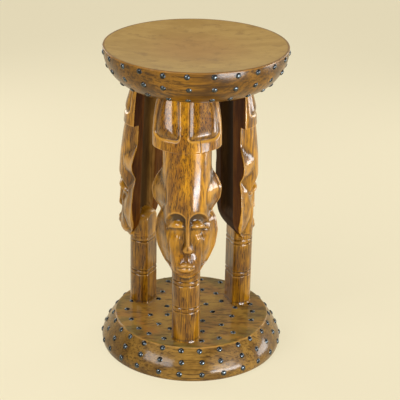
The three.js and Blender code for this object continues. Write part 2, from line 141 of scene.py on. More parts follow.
# Matt paint. Rays from the camera, also by way of the varnish, see its glow mixed in.
board, shader = new_material("painted_board", Roughness=0.8)
tree = shader.id_data
shader.inputs["Base Color"].default_value = linear("#F0E4C8")
rays = add_node(tree, "LightPath").outputs
seen = rays["Is Camera Ray"]
for kind in ("Is Glossy Ray", "Is Transmission Ray"):
    seen = math_node("MAXIMUM", seen, rays[kind])
seen = math_node("MULTIPLY", seen, board_glow)
glow = add_node(tree, "Emission", {"Color": linear("#F8EECC"), "Strength": 1.0})
blend = add_node(tree, "MixShader", {0: seen})
tree.links.new(shader.outputs["BSDF"], blend.inputs[1])
tree.links.new(glow.outputs["Emission"], blend.inputs[2])
tree.links.new(blend.outputs["Shader"], tree.nodes["Material Output"].inputs["Surface"])
studio.data.materials.append(board)

world = bpy.data.worlds.new("soft_room")
bpy.context.scene.world = world
world.use_nodes = True
room_light = world.node_tree.nodes["Background"]
room_light.inputs["Color"].default_value = linear("#F6E0B4")
room_light.inputs["Strength"].default_value = 0.26
bpy.context.scene.view_settings.view_transform = "Standard"

# The low lamps stand just over the floor, so their light is kept off it.
shaded = bpy.data.collections.new("shaded_from_low_lamps")
shaded.objects.link(studio)
shaded.collection_objects[0].light_linking.link_state = "EXCLUDE"


def softbox(name, place, aim, width, height, power):
    """A soft rectangular studio lamp at a place, aimed at a point."""
    lamp = bpy.data.lights.new(name, "AREA")
    lamp.shape = "RECTANGLE"
    lamp.size = width
    lamp.size_y = height
    lamp.energy = power
    holder = bpy.data.objects.new(name, lamp)
    bpy.context.collection.objects.link(holder)
    holder.visible_camera = False
    holder.location = place
    holder.rotation_euler = (Vector(aim) - Vector(place)).to_track_quat("-Z", "Y").to_euler()
    if place[2] < low_lamp_height:
        holder.light_linking.receiver_collection = shaded


softbox("key_softbox", (0.74, -0.84, 0.11), (0, -0.1, 0.29), 0.66, 0.18, 9.2)
softbox("upper_key_softbox", (0.74, -0.84, 0.32), (0, -0.1, 0.33), 0.46, 0.22, 2.0)
softbox("window_softbox", (1.5, 0.25, 0.15), (0, -0.05, 0.30), 0.60, 0.32, 6.6)
softbox("fill_softbox", (-1.22, -1.36, 0.9), (0, 0, 0.4), 1.3, 0.5, 20)
softbox("right_fill_softbox", (1.35, -1.25, 0.85), (0, 0, 0.4), 1.5, 0.9, 5.5)
softbox("left_rim_softbox", (-0.95, 1.0, 0.75), (-0.1, 0, 0.35), 0.9, 0.8, 7.0)
softbox("right_rim_softbox", (0.95, 1.0, 0.75), (0.1, 0, 0.35), 0.45, 0.8, 4.5)
softbox("overhead_softbox", (-0.2, -0.75, 1.95), (0, 0, 0.4), 1.0, 0.8, 9.8)

# The camera stands where the photograph was taken: straight in front, a little above the seat,
# about two metres away, with a long lens.
camera_place = (0, -1.9969, 1.1179)
camera_pitch = math.radians(23.443)
camera_roll = math.radians(1.0892)

camera_data = bpy.data.cameras.new("camera")
camera_data.lens = 120.523
camera_data.sensor_width = 36
camera_data.shift_x = 0.0168
camera = bpy.data.objects.new("camera", camera_data)
bpy.context.collection.objects.link(camera)
bpy.context.scene.camera = camera
pitch = Matrix.Rotation(math.pi / 2 - camera_pitch, 4, "X")
roll = Matrix.Rotation(camera_roll, 4, "Z")
camera.matrix_world = Matrix.Translation(camera_place) @ pitch @ roll

# The seat: one thick disc of hardwood, turned and gently dished on top, with a nearly upright rim
# that curves in to a smaller underside. It lies on the three figures' heads, on glued pegs.
seat_top = cad_box[1].z
seat_height = 0.056
seat_radius = 0.145
seat_underside_radius = 0.114
seat_rim_width = 0.0035
seat_dish_depth = 0.009
seat_bend, seat_close = 2.3, 0.83
seat_edge_round = 0.0012
seat_segments = 240
seat_waves = [(3, 0.4), (7, 1.9), (11, 4.0)]
waver_depth = 0.0009
waver_inner_radius = 0.09


def mix(a, b, share):
    return a + (b - a) * share


def ease(low, high, value):
    """Zero at one value and one at another, with a soft rise between."""
    t = np.clip((value - low) / (high - low), 0, 1)
    return t * t * (3 - 2 * t)


def turned_piece(name, outline, segments):
    """Turns an outline of (radius, height) points by extruding one ring of edges."""
    radius, height = outline[0]
    deselect()
    bpy.ops.mesh.primitive_circle_add(vertices=segments, radius=radius, location=(0, 0, height))
    piece = start_piece(name)
    edit()
    bpy.ops.mesh.select_mode(type="EDGE")
    for next_radius, next_height in outline[1:]:
        rise = next_height - height
        bpy.ops.mesh.extrude_edges_move(TRANSFORM_OT_translate={"value": (0, 0, rise)})
        growth = next_radius / radius
        bpy.ops.transform.resize(value=(growth, growth, 1), center_override=(0, 0, next_height))
        radius, height = next_radius, next_height
    bpy.ops.mesh.select_all(action="SELECT")
    bpy.ops.mesh.fill_holes(sides=0)
    bpy.ops.mesh.select_all(action="SELECT")
    bpy.ops.mesh.normals_make_consistent(inside=False)
    stop_editing()
    bpy.ops.object.shade_smooth()
    return piece


def seat_side(share):
    """The seat's radius at a depth below its rim, as a share of its height."""
    return mix(seat_underside_radius, seat_radius, (1 - share**seat_bend) ** seat_close)


def seat_level(share):
    """The height of that depth."""
    return seat_top - seat_height * share


def rounded(outline, radius, count=5):
    """Rounds each corner of an outline with a few points."""
    points = [Vector(point) for point in outline]
    soft = [points[0]]
    for before, corner, after in zip(points, points[1:], points[2:]):
        first, last = before - corner, after - corner
        first = corner + first.normalized() * min(radius, first.length / 2)
        last = corner + last.normalized() * min(radius, last.length / 2)
        for i in range(count + 1):
            t = i / count
            soft.append(first * (1 - t) ** 2 + corner * 2 * t * (1 - t) + last * t**2)
    soft.append(points[-1])
    return [tuple(point) for point in soft]


dish_radius = seat_radius - seat_rim_width
dish = [
    (dish_radius * t, seat_top - seat_dish_depth * (1 - t**2)) for t in np.linspace(0.015, 1, 34)
]
side_shares = (*np.linspace(0, 0.9, 26), 0.94, 0.97, 0.985, 0.995, 1)
side = [(seat_side(share), seat_level(share)) for share in side_shares]
underside = [(seat_underside_radius * t, seat_level(1)) for t in (0.8, 0.4, 0.02)]
rim = rounded([dish[-2], dish[-1], side[0], side[1]], seat_edge_round)
seat = turned_piece("seat_disc", [*dish[:-2], *rim, *side[2:], *underside], seat_segments)


def places_of(piece):
    """The places of a piece's vertices, one in each row."""
    places = np.empty(len(piece.data.vertices) * 3)
    piece.data.vertices.foreach_get("co", places)
    return places.reshape(-1, 3)


def hand_turned(piece, low, high, waves):
    """Lets a turned side waver a little, as a hand-finished one does."""
    places = places_of(piece)
    turns = np.arctan2(places[:, 0], -places[:, 1])
    radii = np.hypot(places[:, 0], places[:, 1])
    waver = sum(np.sin(turns * pace + start) for pace, start in waves) / len(waves)
    above = ease(low, mix(low, high, 0.4), places[:, 2])
    below = 1 - ease(mix(low, high, 0.6), high, places[:, 2])
    outer = radii > waver_inner_radius
    growth = 1 + waver * above * below * waver_depth / np.maximum(radii, waver_inner_radius)
    places[outer, :2] *= growth[outer, None]
    piece.data.vertices.foreach_set("co", places.ravel())
    piece.data.update()


hand_turned(seat, seat_level(1), seat_top - 0.006, seat_waves)


def object_place(shader):
    return add_node(shader.id_data, "TexCoord").outputs["Object"]


def mapped(place, **change):
    """A place after a turn or a change of scale."""
    return add_node(place.id_data, "Mapping", {"Vector": place, **change}).outputs["Vector"]


def lay_grain(place, degrees):
    """Turns a place so that its grain lies level, at a turn in degrees."""
    return mapped(place, Rotation=(0, math.pi / 2, math.radians(degrees)))


def radius_and_height(place):
    """How far a place is from the stool's middle line, and how high it is."""
    flat = mapped(place, Scale=(1, 1, 0))
    radius = add_node(place.id_data, "VectorMath", {0: flat}, operation="LENGTH")
    parts = add_node(place.id_data, "SeparateXYZ", {"Vector": place})
    return radius.outputs["Value"], parts.outputs["Z"]


def wood_grain(place, along, across, detail=5.0):
    """Streaks of noise along the grain, from a streak's length and width in metres."""
    stretched = mapped(place, Scale=(1 / across, 1 / across, 1 / along))
    inputs = {"Vector": stretched, "Scale": 1.0, "Detail": detail, "Roughness": 0.62}
    return add_node(place.id_data, "TexNoise", inputs).outputs["Fac"]


def band(value, low, high, start=0.0, end=1.0):
    """Maps a value from one range to another and clamps it."""
    inputs = {"Value": value, "From Min": low, "From Max": high, "To Min": start, "To Max": end}
    node = add_node(value.id_data, "MapRange", inputs, clamp=True, interpolation_type="SMOOTHSTEP")
    return node.outputs["Result"]


def times(first, second):
    return math_node("MULTIPLY", first, second)


def plus(first, second):
    return math_node("ADD", first, second)


def colour_mix(share, first, second):
    """Mixes two colours, each a hex code or a socket, by a share."""
    inputs = {0: share}
    for index, colour in ((6, first), (7, second)):
        inputs[index] = linear(colour) if isinstance(colour, str) else colour
    node = add_node(share.id_data, "Mix", inputs, data_type="RGBA", clamp_factor=True)
    return node.outputs[2]


def overlaid(wood, *stains):
    """Lays stains and painted shade over a wood, each from its colour, its pattern, the pattern's
    values where it starts and is full, and its strength."""
    for colour, pattern, low, high, strength in stains:
        wood = colour_mix(band(pattern, low, high, 0.0, strength), wood, colour)
    return wood


def surface(shader, colour, relief=None, roughness=None, depth=0.0007, strength=0.3):
    """Gives a shader its colour, a fine relief like open grain's and its roughness."""
    links = shader.id_data.links
    links.new(colour, shader.inputs["Base Color"])
    if roughness:
        links.new(roughness, shader.inputs["Roughness"])
    if relief:
        inputs = {"Strength": strength, "Distance": depth, "Height": relief}
        bump = add_node(shader.id_data, "Bump", inputs)
        links.new(bump.outputs["Normal"], shader.inputs["Normal"])


# Varnished hardwood, stained ochre. The top is a paler tan with a satin finish. The side keeps its
# gloss, and dark streaks run along its grain.
seat_wood, shader = new_material(
    "varnished_hardwood_seat", Coat_Weight=0.4, Coat_Roughness=0.18, Specular_IOR_Level=0.1
)
place = object_place(shader)
radius, height = radius_and_height(place)
level_place = lay_grain(place, 4)
streaks = wood_grain(level_place, 0.09, 0.0042)
fibres = wood_grain(level_place, 0.03, 0.0011, 3.0)
clouds = wood_grain(level_place, 0.06, 0.03, 3.0)
smudges = wood_grain(place, 0.045, 0.022, 6.0)
dished = band(radius, seat_radius - 0.0042, seat_radius - 0.0022, 1.0, 0.0)
dished = times(dished, band(height, seat_top - 0.016, seat_top - 0.012))
tan = overlaid(
    colour_mix(band(clouds, 0.35, 0.65), "#AE8840", "#BE9A54"),
    ("#8A642C", fibres, 0.5, 0.8, 0.35),
    ("#A87034", radius, 0.11, 0.02, 0.45),
    ("#86602E", smudges, 0.52, 0.70, 0.5),
)
ochre = overlaid(
    colour_mix(band(clouds, 0.3, 0.7), "#4A2E06", "#865C16"),
    ("#38240A", streaks, 0.44, 0.62, 0.8),
    ("#3A2106", fibres, 0.5, 0.72, 0.6),
)
worn = band(radius, seat_radius - 0.0042, seat_radius - 0.003)
worn = times(worn, band(height, seat_top - 0.003, seat_top - 0.0015))
ochre = colour_mix(times(worn, 0.4), ochre, "#AE7C38")
roughness = plus(band(dished, 0, 1, 0.3, 0.42), band(clouds, 0.2, 0.8, 0.0, 0.12))
relief = plus(times(streaks, 0.6), fibres)
surface(shader, colour_mix(dished, ochre, tan), relief, roughness, 0.0006, 0.25)

seat.data.materials.append(seat_wood)
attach(seat, "root")
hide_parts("seat")

# The base: one thick disc of the same wood, turned with a side that bulges out towards the floor.
# The figures stand on its flat top, on glued pegs.
base_height = 0.0506
base_radius = 0.1497
base_top_radius = 0.1268
base_sole_radius = 0.1476
base_belly_height = 0.010
base_curve = 1.45
base_edge_round = 0.0022
base_segments = 240
base_waves = [(2, 0.9), (5, 2.9), (9, 0.3)]


def base_side(share):
    """The base's radius at a share of its height."""
    belly = base_belly_height / base_height
    if share < belly:
        return mix(base_sole_radius, base_radius, math.sqrt(share / belly))
    return mix(base_radius, base_top_radius, ((share - belly) / (1 - belly)) ** base_curve)


def base_level(share):
    return base_height * share


sole = [(base_sole_radius * t, 0) for t in (0.02, 0.5, 0.9)]
flank_shares = (*np.linspace(0, 0.2, 8), *np.linspace(0.24, 1, 24))
flank = [(base_side(share), base_level(share)) for share in flank_shares]
deck = [(base_top_radius * t, base_height) for t in (0.97, 0.9, 0.7, 0.4, 0.02)]
brink = rounded([flank[-2], flank[-1], deck[0]], base_edge_round)
base = turned_piece("base_disc", [*sole, *flank[:-2], *brink, *deck[1:]], base_segments)
hand_turned(base, 0.002, base_height - 0.002, base_waves)

# The same varnish, glossy on the side. The top is dulled to a greenish brown that thickens towards
# the edge, with rubbed orange patches.
base_wood, shader = new_material(
    "varnished_hardwood_base", Coat_Weight=0.42, Coat_Roughness=0.12, Specular_IOR_Level=0.1
)
place = object_place(shader)
radius, height = radius_and_height(place)
level_place = lay_grain(place, -12)
streaks = wood_grain(level_place, 0.06, 0.0027)
fibres = wood_grain(level_place, 0.02, 0.0012, 3.0)
clouds = wood_grain(level_place, 0.05, 0.035, 4.0)
patches = wood_grain(place, 0.05, 0.05, 5.0)
mottle = wood_grain(level_place, 0.022, 0.007, 6.0)
decked = band(height, base_height - 0.0012, base_height - 0.0003)
dull = overlaid(
    colour_mix(band(clouds, 0.35, 0.65), "#946C28", "#B48C3C"),
    ("#94602A", patches, 0.48, 0.66, 0.6),
)
to_edge = band(radius, 0.070, 0.122, 0.1, 0.8)
grime = times(to_edge, band(clouds, 0.40, 0.60))
dull = overlaid(
    colour_mix(grime, dull, "#5A5026"),
    ("#54391A", mottle, 0.48, 0.64, 0.75),
    ("#4E3814", fibres, 0.5, 0.8, 0.45),
)
gold = overlaid(
    colour_mix(band(clouds, 0.35, 0.65), "#5E421A", "#8A682C"),
    ("#36220A", streaks, 0.45, 0.68, 0.85),
    ("#2F1C06", fibres, 0.50, 0.72, 0.6),
)
rubbed = band(height, base_height - 0.0036, base_height - 0.0008)
rubbed = times(rubbed, band(patches, 0.4, 0.58, 0.1, 0.7))
gold = colour_mix(rubbed, gold, "#B08444")
roughness = plus(band(decked, 0, 1, 0.26, 0.36), band(clouds, 0.2, 0.8, 0.0, 0.14))
relief = plus(times(streaks, 0.6), fibres)
surface(shader, colour_mix(decked, gold, dull), relief, roughness)

base.data.materials.append(base_wood)
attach(base, "root")
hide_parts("base")

# The three figure pillars, each carved from one piece of hardwood: a round neck with ring lines, a
# long face between two scalloped lobes, a high forehead and a banded hat with two swollen locks.
# They are gouged hollow behind and varnished, and painted shade darkens every hollow.
glue_line = 0.0003
neck_height = 0.1244
face_height = 0.113
forehead_height = 0.0905
hat_height = 0.0805
chin_level = neck_height
brow_level = chin_level + face_height
hat_level = brow_level + forehead_height
figure_height = hat_level + hat_height
pillar_height = figure_height - 2 * glue_line
figure_radius = 0.092

# Angles are in degrees. A pair is for a figure's left and right as seen from in front.
# "uncut_shares" is how far each side's lobes run on without a waist. "darkened" is how much painted
# shade darkens the back at its left, in its hollow and at its right. The two lobe settings give
# painted
# shade too: how much lies on each side's lobes, and how much of the shade in hollows they keep.
upright = {
    "reach": 1, "facing": 0, "tilt": 0, "nod": 0, "set_back": 0, "notch_rise": 0,
    "uncut_shares": (0, 0), "hollow_offset": 0, "hollow_lean": 0, "lobe_cavity_shade": 0.45,
}
figures = [
    {
        **upright, "name": "front", "turn": -5.1, "facing": 5.1, "tilt": 0.5, "ring_share": 0.84,
        "darkened": (0.3, 0.3, 0.3), "lobe_shades": (0.5, 0.04), "lobe_cavity_shade": 1,
    },
    {
        **upright, "name": "right", "turn": 119, "reach": 0.965, "facing": -5, "nod": 2.4,
        "set_back": 0.014, "notch_rise": 0.009, "uncut_shares": (0, 0.9), "hollow_offset": 0.011,
        "hollow_lean": 3.7, "ring_share": 0.93, "darkened": (0, 1, 1), "lobe_shades": (0, 0.3),
    },
    {
        **upright, "name": "left", "turn": -117, "notch_rise": 0.011, "uncut_shares": (0.9, 0),
        "hollow_offset": -0.002, "ring_share": 0.95, "darkened": (0.55, 0, 0),
        "lobe_shades": (0.3, 0),
    },
]


def head_at(share):
    """A height: 0 to 1 runs up the face, 1 to 2 the forehead and 2 to 3 the hat."""
    levels = [chin_level, brow_level, hat_level, figure_height]
    part = min(int(share), 2)
    return mix(levels[part], levels[part + 1], share - part)


profile_step = 0.0002
profile_margin = 0.02


def soft_kernel(softness, step):
    """Weights that smooth values a step apart over a distance."""
    kernel = np.hanning(max(3, int(softness / step) | 1) + 2)[1:-1]
    return kernel / kernel.sum()


def along(levels, stops, values, softness):
    """A value that follows its stops up the figure, with its corners softened."""
    fine = np.arange(stops[0] - profile_margin, stops[-1] + profile_margin, profile_step)
    kernel = soft_kernel(softness, profile_step)
    padded = np.pad(np.interp(fine, stops, values), len(kernel) // 2, mode="edge")
    return np.interp(levels, fine, np.convolve(padded, kernel, mode="valid"))


def soft_least(a, b, width):
    """The smaller of two values, with the crease between them rounded."""
    share = np.clip(0.5 + 0.5 * (b - a) / width, 0, 1)
    return mix(b, a, share) - width * share * (1 - share)


def bell(value, middle, width):
    """One at a middle, falling softly to nothing on both sides."""
    return np.exp(-(((value - middle) / width) ** 2))


neck_radius = 0.0226
neck_flat_depth = 0.0165
neck_crown_height = 0.016
neck_crown = chin_level + 0.044 - neck_crown_height
ring_width = 0.0022
ring_depth = 0.0012
ring_spacing = 0.0075
lower_ring_share = 0.46
foot_bead_width = 0.0016
foot_bead_height = 0.0032


def neck_width(levels):
    """The neck's radius: upright, then closing over in a round crown behind the head."""
    over = np.clip((levels - neck_crown) / neck_crown_height, 0, 1)
    return neck_radius * np.sqrt(np.maximum(1 - over**2.2, 0))


def neck_carving(turns, z, ring_share):
    """Two pairs of hand-cut ring lines, and a thin bead of varnish at the foot."""
    carving = 0.0
    for share, pace in ((lower_ring_share, 2.3), (ring_share, 4.1)):
        for side in (-1, 1):
            waver = 0.0004 * np.sin(turns * 2 + pace) + 0.0003 * np.sin(turns * 5 + pace * 2 + side)
            middle = neck_height * share + side * ring_spacing / 2 + waver
            carving = carving - ring_depth * bell(z, middle, ring_width / 2.6)
    return carving + foot_bead_width * np.clip(1 - z / foot_bead_height, 0, 1) ** 2


hat_width = 0.107
hat_top_width = 0.089
core_roundness = 2.3
hat_roundness = 1.9
core_softness = 0.003
hat_softness = 0.012

# Half widths and front depths of the head and the hat in millimetres, at the shares above the chin
# that head_at turns to heights.
head_shares = (-0.064, -0.045, -0.02, 0.02, 0.07, 0.17, 0.34, 0.54, 0.76, 1, 1.35, 1.7, 2)
head_widths = (4.0, 9.0, 15.0, 20.2, 24.0, 27.0, 31.1, 34.2, 36.0, 37.0, 38.0, 38.0, 38.0)
head_depths = (21.0, 29.0, 34.5, 37.8, 40.2, 41.0, 41.0, 41.0, 41.0, 41.0, 38.1, 33.2, 28.0)
hat_shares = (2, 2.3, 2.55, 2.8, 3)
hat_widths = (500 * hat_width, 53.3, 51.9, 49.0, 500 * hat_top_width)
hat_depths = (29.0, 25.5, 18.0, 11.4, 7.0)


def core_shape(levels):
    """Half width, front depth and roundness of the head and hat."""
    step = ease(hat_level - 0.0005, hat_level + 0.0013, levels)
    stops = [head_at(share) for share in head_shares]
    hat_stops = [head_at(share) for share in hat_shares]
    shape = []
    for head, hat in ((head_widths, hat_widths), (head_depths, hat_depths)):
        head = along(levels, stops, head, core_softness)
        hat = along(levels, hat_stops, hat, hat_softness)
        shape.append(mix(head, hat, step) / 1000)
    return *shape, mix(core_roundness, hat_roundness, step)


waist_width = 0.0400
upper_lobe_width = 0.0553
lobe_end_width = 0.0370
lobe_softness = 0.010
jaw_share = 0.57
notch_share = 0.88
peak_share = 1.26
lobe_end_share, uncut_end_share = 1.62, 2.02


def wing_width(levels, notch_rise, uncut):
    """Half width of one side's scalloped lobes."""
    jaw, notch = head_at(jaw_share), head_at(notch_share) + notch_rise
    peak = head_at(peak_share) + notch_rise / 3
    waist = mix(waist_width, upper_lobe_width, uncut)
    end_share = mix(lobe_end_share, uncut_end_share, uncut)
    stops = [head_at(share) for share in (-0.03, 0, 0.15, 0.36)]
    stops += [jaw, mix(jaw, notch, 0.6), notch]
    widths = [0.017, 0.0215, 0.0350, 0.0457, 0.04975, max(0.0468, waist), waist]
    lower = along(levels, stops, widths, lobe_softness)
    ends = [head_at(mix(peak_share, end_share, 0.6)), head_at(end_share)]
    fall = [mix(width, upper_lobe_width, uncut) for width in (0.0470, lobe_end_width)]
    stops = [notch, mix(notch, peak, 0.5), peak, *ends]
    upper = along(levels, stops, [waist, 0.0523, upper_lobe_width, *fall], lobe_softness)
    return np.where(levels < notch, lower, upper) - 0.02 * (levels > head_at(end_share + 0.02))


chin_back_depth = 0.003
crown_back_depth = 0.015
jaw_rise = 0.035
jaw_curl = 0.018
hollow_width = 0.046
hollow_depth = 0.009
hollow_bottom = chin_level + 0.030
hollow_top = pillar_height - 0.026


def back_slope(levels):
    """The line that the head's back slopes along."""
    share = (levels - chin_level) / (figure_height - chin_level)
    return mix(chin_back_depth, crown_back_depth, share)


def head_back(levels):
    """The back follows that line and tucks in under the jaw."""
    tuck = np.maximum(1 - (levels - chin_level) / jaw_rise, 0)
    return back_slope(levels) - jaw_curl * tuck**2


def nodded(levels, figure):
    """How far a figure's nod brings its head forward."""
    return (levels - brow_level) * math.tan(math.radians(figure["nod"]))


def hollow_middle(levels, pivot, figure):
    """The middle of a back's hollow, which leans about a pivot's height."""
    lean = math.tan(math.radians(figure["hollow_lean"]))
    return figure["hollow_offset"] + (levels - pivot) * lean


def hollow_share(x, level, figure):
    """How deep the back's gouged hollow is, as a share of its full depth."""
    middle = hollow_middle(level, (hollow_bottom + hollow_top) / 2, figure)
    low_end = ease(hollow_bottom, hollow_bottom + 0.02, level)
    ends = low_end * ease(hollow_top, hollow_top - 0.012, level)
    return ends * np.maximum(1 - (np.abs(x - middle) / (hollow_width / 2)) ** 2.3, 0) ** 0.8


skin_columns = 320
skin_rows = 300
loop_points = 700
even_points = 1400
rim_points = 10
corner_round = 0.0016
crease_round = 0.0012
thinnest = 0.0004
steep = 8.0
head_start = chin_level - 0.0076
lobe_start = chin_level - 0.003
wing_depth = 0.021
wing_edge_depth = 0.003
wing_curl = 0.008
wing_root_share = 0.709
wing_jaw_share = 0.3
lobe_dish_depth = 0.0022


def lobe_sheet(level, away, wing, back):
    """The lobes' front, which rises from a thin edge and is dished like a spoon."""
    drop = max(0, (head_at(jaw_share) - level) / (jaw_share * face_height))
    rise = np.clip((wing - away) / (wing - wing * wing_root_share), 0, 1.4)
    edge = wing_edge_depth + wing_curl * drop
    sheet = edge + (wing_depth - edge) * rise**1.25
    sheet = sheet - lobe_dish_depth * ease(0.03, 0.22, rise) * ease(1.0, 0.5, rise)
    sheet = np.minimum(back_slope(level) - sheet, back - wing_jaw_share * sheet)
    return sheet + np.maximum(away - wing, 0) * steep


def ring_loop(level, half, deep, roundness, wings, neck, figure):
    """One ring of the skin, from the middle of the back round the front, and where the head meets
    the lobes at either side and the neck."""
    back = head_back(level)
    present, lobed = level > head_start, level > lobe_start
    turns = np.sin(np.linspace(-math.pi / 2, math.pi / 2, loop_points))
    reach = [max(neck, half if present else 0, wing if lobed else 0) for wing in wings]
    x = turns * np.where(turns < 0, *reach)
    away = np.abs(x)
    round_front = -np.sqrt(np.maximum(neck**2 - x**2, 0))
    front = np.where(away < neck, round_front, (away - neck) * steep)
    rear = np.where(away < neck, np.minimum(-front, neck_flat_depth), -1.0)
    creases = [1.0, 1.0]
    chin = 0.0
    if present:
        shift = figure["set_back"] - nodded(level, figure)
        bow = (1 - np.minimum(away / half, 1) ** roundness) ** (1 / roundness)
        core = np.where(away < half, back - (deep + back) * bow, back + (away - half) * steep)
        core = core + shift
        chin = np.max(away[core < front], initial=0.0)
        front = soft_least(front, core, crease_round)
        head_rear = back + shift - hollow_depth * hollow_share(x, level, figure)
        fade = ease(chin_level - 0.004, chin_level + 0.001, level)
        rear = np.maximum(rear, mix(-0.02, head_rear, fade))
        if lobed and max(wings) > half * 0.8:
            sheet = lobe_sheet(level, away, np.where(turns < 0, *wings), back) + shift
            before = sheet < core
            creases = [np.min(away[before & side], initial=1.0) for side in (x < 0, x > 0)]
            front = soft_least(front, sheet, crease_round)
    rear = np.maximum(rear, front + thinnest)
    rim = np.linspace(0, 1, rim_points + 2)[1:-1]
    right_rim = [(reach[1], mix(front[-1], rear[-1], t)) for t in rim]
    left_rim = [(-reach[0], mix(rear[0], front[0], t)) for t in rim]
    middle = len(x) // 2
    behind = list(zip(x[::-1], rear[::-1]))
    points = behind[middle:] + left_rim + list(zip(x, front)) + right_rim + behind[: middle + 1]
    return np.array(points), [*creases, chin]


def shared_out(points, weights, marks):
    """Points at even marks along a line, whose steps have weights, and its length."""
    steps = np.hypot(*np.diff(points, axis=0).T) * weights
    length = np.concatenate([[0], np.cumsum(steps)])
    stops = np.linspace(0, length[-1], marks)
    return np.stack([np.interp(stops, length, points[:, k]) for k in (0, 1)], axis=1), length[-1]


def even_ring(points):
    """Rounds a ring's corners and shares its points out as columns."""
    even, length = shared_out(points, 1.0, even_points + 1)
    kernel = soft_kernel(corner_round, length / even_points)
    half = len(kernel) // 2
    wrapped = np.concatenate([even[-half - 1 : -1], even[:-1], even[:half]])
    even = np.stack([np.convolve(wrapped[:, k], kernel, mode="valid") for k in (0, 1)], axis=1)
    even = np.concatenate([even, even[:1]])
    middle = (even[1:] + even[:-1]) / 2
    on_face = (np.abs(middle[:, 0]) < 0.032) * (middle[:, 1] < -0.02)
    weights = np.where(middle[:, 1] < 0, 1.5, 1.0) + 0.5 * on_face
    return shared_out(even, weights, skin_columns + 1)[0]


band_height = 0.0195
border_width = 0.0036
parting_width = 0.0156
parting_offset = -0.0044
lock_corner = 0.009
parting_corner = 0.005
lock_bottom = hat_level + band_height
lock_sink = 0.0032
lock_swell = 0.0044
lock_swell_reach = 0.019
crack_place = 0.0206
crack_depth = 0.0009


def lock_depth(x, z):
    """Distance inside the nearest lock's outline, below zero outside."""
    share = np.clip((z - lock_bottom) / (figure_height - lock_bottom), 0, 1)
    top_edge = hat_top_width / 2 - border_width - 0.001
    edge = mix(hat_width / 2 - border_width, top_edge, share**1.7)
    from_low = z - lock_bottom
    deepest = np.full_like(x, -1.0)
    for side in (-1, 1):
        from_near = x * side - (parting_offset * side + parting_width / 2)
        from_far = edge - x * side
        inside = np.minimum(np.minimum(from_near, from_far), from_low)
        for from_side, radius in ((from_far, lock_corner), (from_near, parting_corner)):
            short, low = np.minimum(from_side - radius, 0), np.minimum(from_low - radius, 0)
            corner = np.minimum(radius - np.hypot(short, low), inside)
            inside = np.where((short < 0) & (low < 0), corner, inside)
        deepest = np.maximum(deepest, inside)
    return deepest


def hat_carving(x, z):
    """The locks: each lies in a bevelled frame, sunk at its border and swollen within."""
    inside = lock_depth(x, z)
    low = ease(lock_bottom + 0.008, lock_bottom, z)
    bevel = (inside + mix(0.0010, 0.0030, low)) / mix(0.0018, 0.0038, low)
    swell = 1 - (1 - np.clip(inside / lock_swell_reach, 0, 1)) ** 3.2
    locks = lock_swell * swell * (inside > 0) - lock_sink * ease(0, 1, bevel)
    crack = bell(x, crack_place + 0.0006 * np.sin(z * 400), 0.0006) * (inside < 0.002)
    crack = crack_depth * crack * ease(hat_level + 0.001, hat_level + 0.003, z)
    return locks * ease(hat_level + 0.002, hat_level + 0.006, z) - crack


def hat_shade(x, z):
    """Painted shade in the groove at each lock's edge and in the crack, and darker colour over each
    lock's lower part and near its sides.
    """
    inside = lock_depth(x, z)
    edge = 0.85 * bell(inside, 0.0009, 0.0009)
    lower = 0.46 * ease(lock_bottom + 0.026, lock_bottom + 0.006, z) * (inside > 0.001)
    side = 0.25 * ease(0.010, 0.001, inside) * (inside > 0.001)
    crack = bell(x, crack_place, 0.0007) * (inside < 0.002)
    return np.maximum.reduce([edge, lower, side, crack]) * (z > hat_level + 0.001)


eye_middle = 0.01845
eye_offset = 0.0019
nose_offset = 0.0027
arch_radius = 0.0172
arch_level = brow_level - arch_radius - 0.0022
lid_half_width = 0.0150
lid_height = 0.0118
lid_depth = 0.0060
nose_tip_share = 0.40
nostril_width = 0.0046
nose_bridge_width, nose_top_width = 0.0016, 0.0030
eye_line_level = head_at(0.757)
lower_floor, beside_nose_floor, upper_floor = 0.0080, 0.0042, 0.0056


def face_share(z):
    return (z - chin_level) / face_height


def beside_nose(x, z):
    """Distance from the face's middle line, which leans a little to the nose."""
    return np.abs(x - mix(nose_offset, eye_offset, ease(0.45, 0.85, face_share(z))))


def nose_width(z):
    """The nose's half width, from its narrow bridge to its nostrils."""
    share = face_share(z)
    bridge = mix(nose_bridge_width, nose_top_width, ease(0.60, 0.95, share))
    return bridge + nostril_width * bell(share, nose_tip_share + 0.025, 0.055)


def across_lid(away):
    """Place across an eyelid, from -1 by the nose to 1 at its outer corner."""
    return (away - eye_middle) / lid_half_width


def eye_line(away):
    """Height of an eyelid's lower edge, which rises a little away from the nose."""
    lid = across_lid(away)
    return eye_line_level + 0.0009 * lid - 0.0007 * lid**2


def in_socket(away, z):
    """Distance inside a socket's arched outline, below zero outside."""
    outer = mix(0.0225, eye_middle + arch_radius, ease(0.28, 0.70, face_share(z)))
    arch = arch_radius - np.hypot(away - eye_middle, np.maximum(z - arch_level, 0))
    return np.minimum.reduce([arch, away - nose_width(z), outer - away])


def socket_carving(away, z):
    """Arched sockets that run down into hollow cheeks, each with a low swell."""
    share = face_share(z)
    line = eye_line(away)
    upper = ease(line - 0.010, line + 0.005, z)
    outer = ease(eye_middle - 0.005, eye_middle + 0.005, away)
    slope = mix(mix(0.0050, 0.0115, outer), 0.0036, upper)
    by_nose = ease(0.010, 0.021, away) * ease(0.70, 0.58, share)
    floor = mix(mix(lower_floor, beside_nose_floor, by_nose), upper_floor, upper)
    hollow = floor * ease(0.08, 0.54, share) * ease(0, 1, in_socket(away, z) / slope)
    return 0.0018 * bell(away, 0.0190, 0.0065) * bell(share, 0.57, 0.10) - hollow


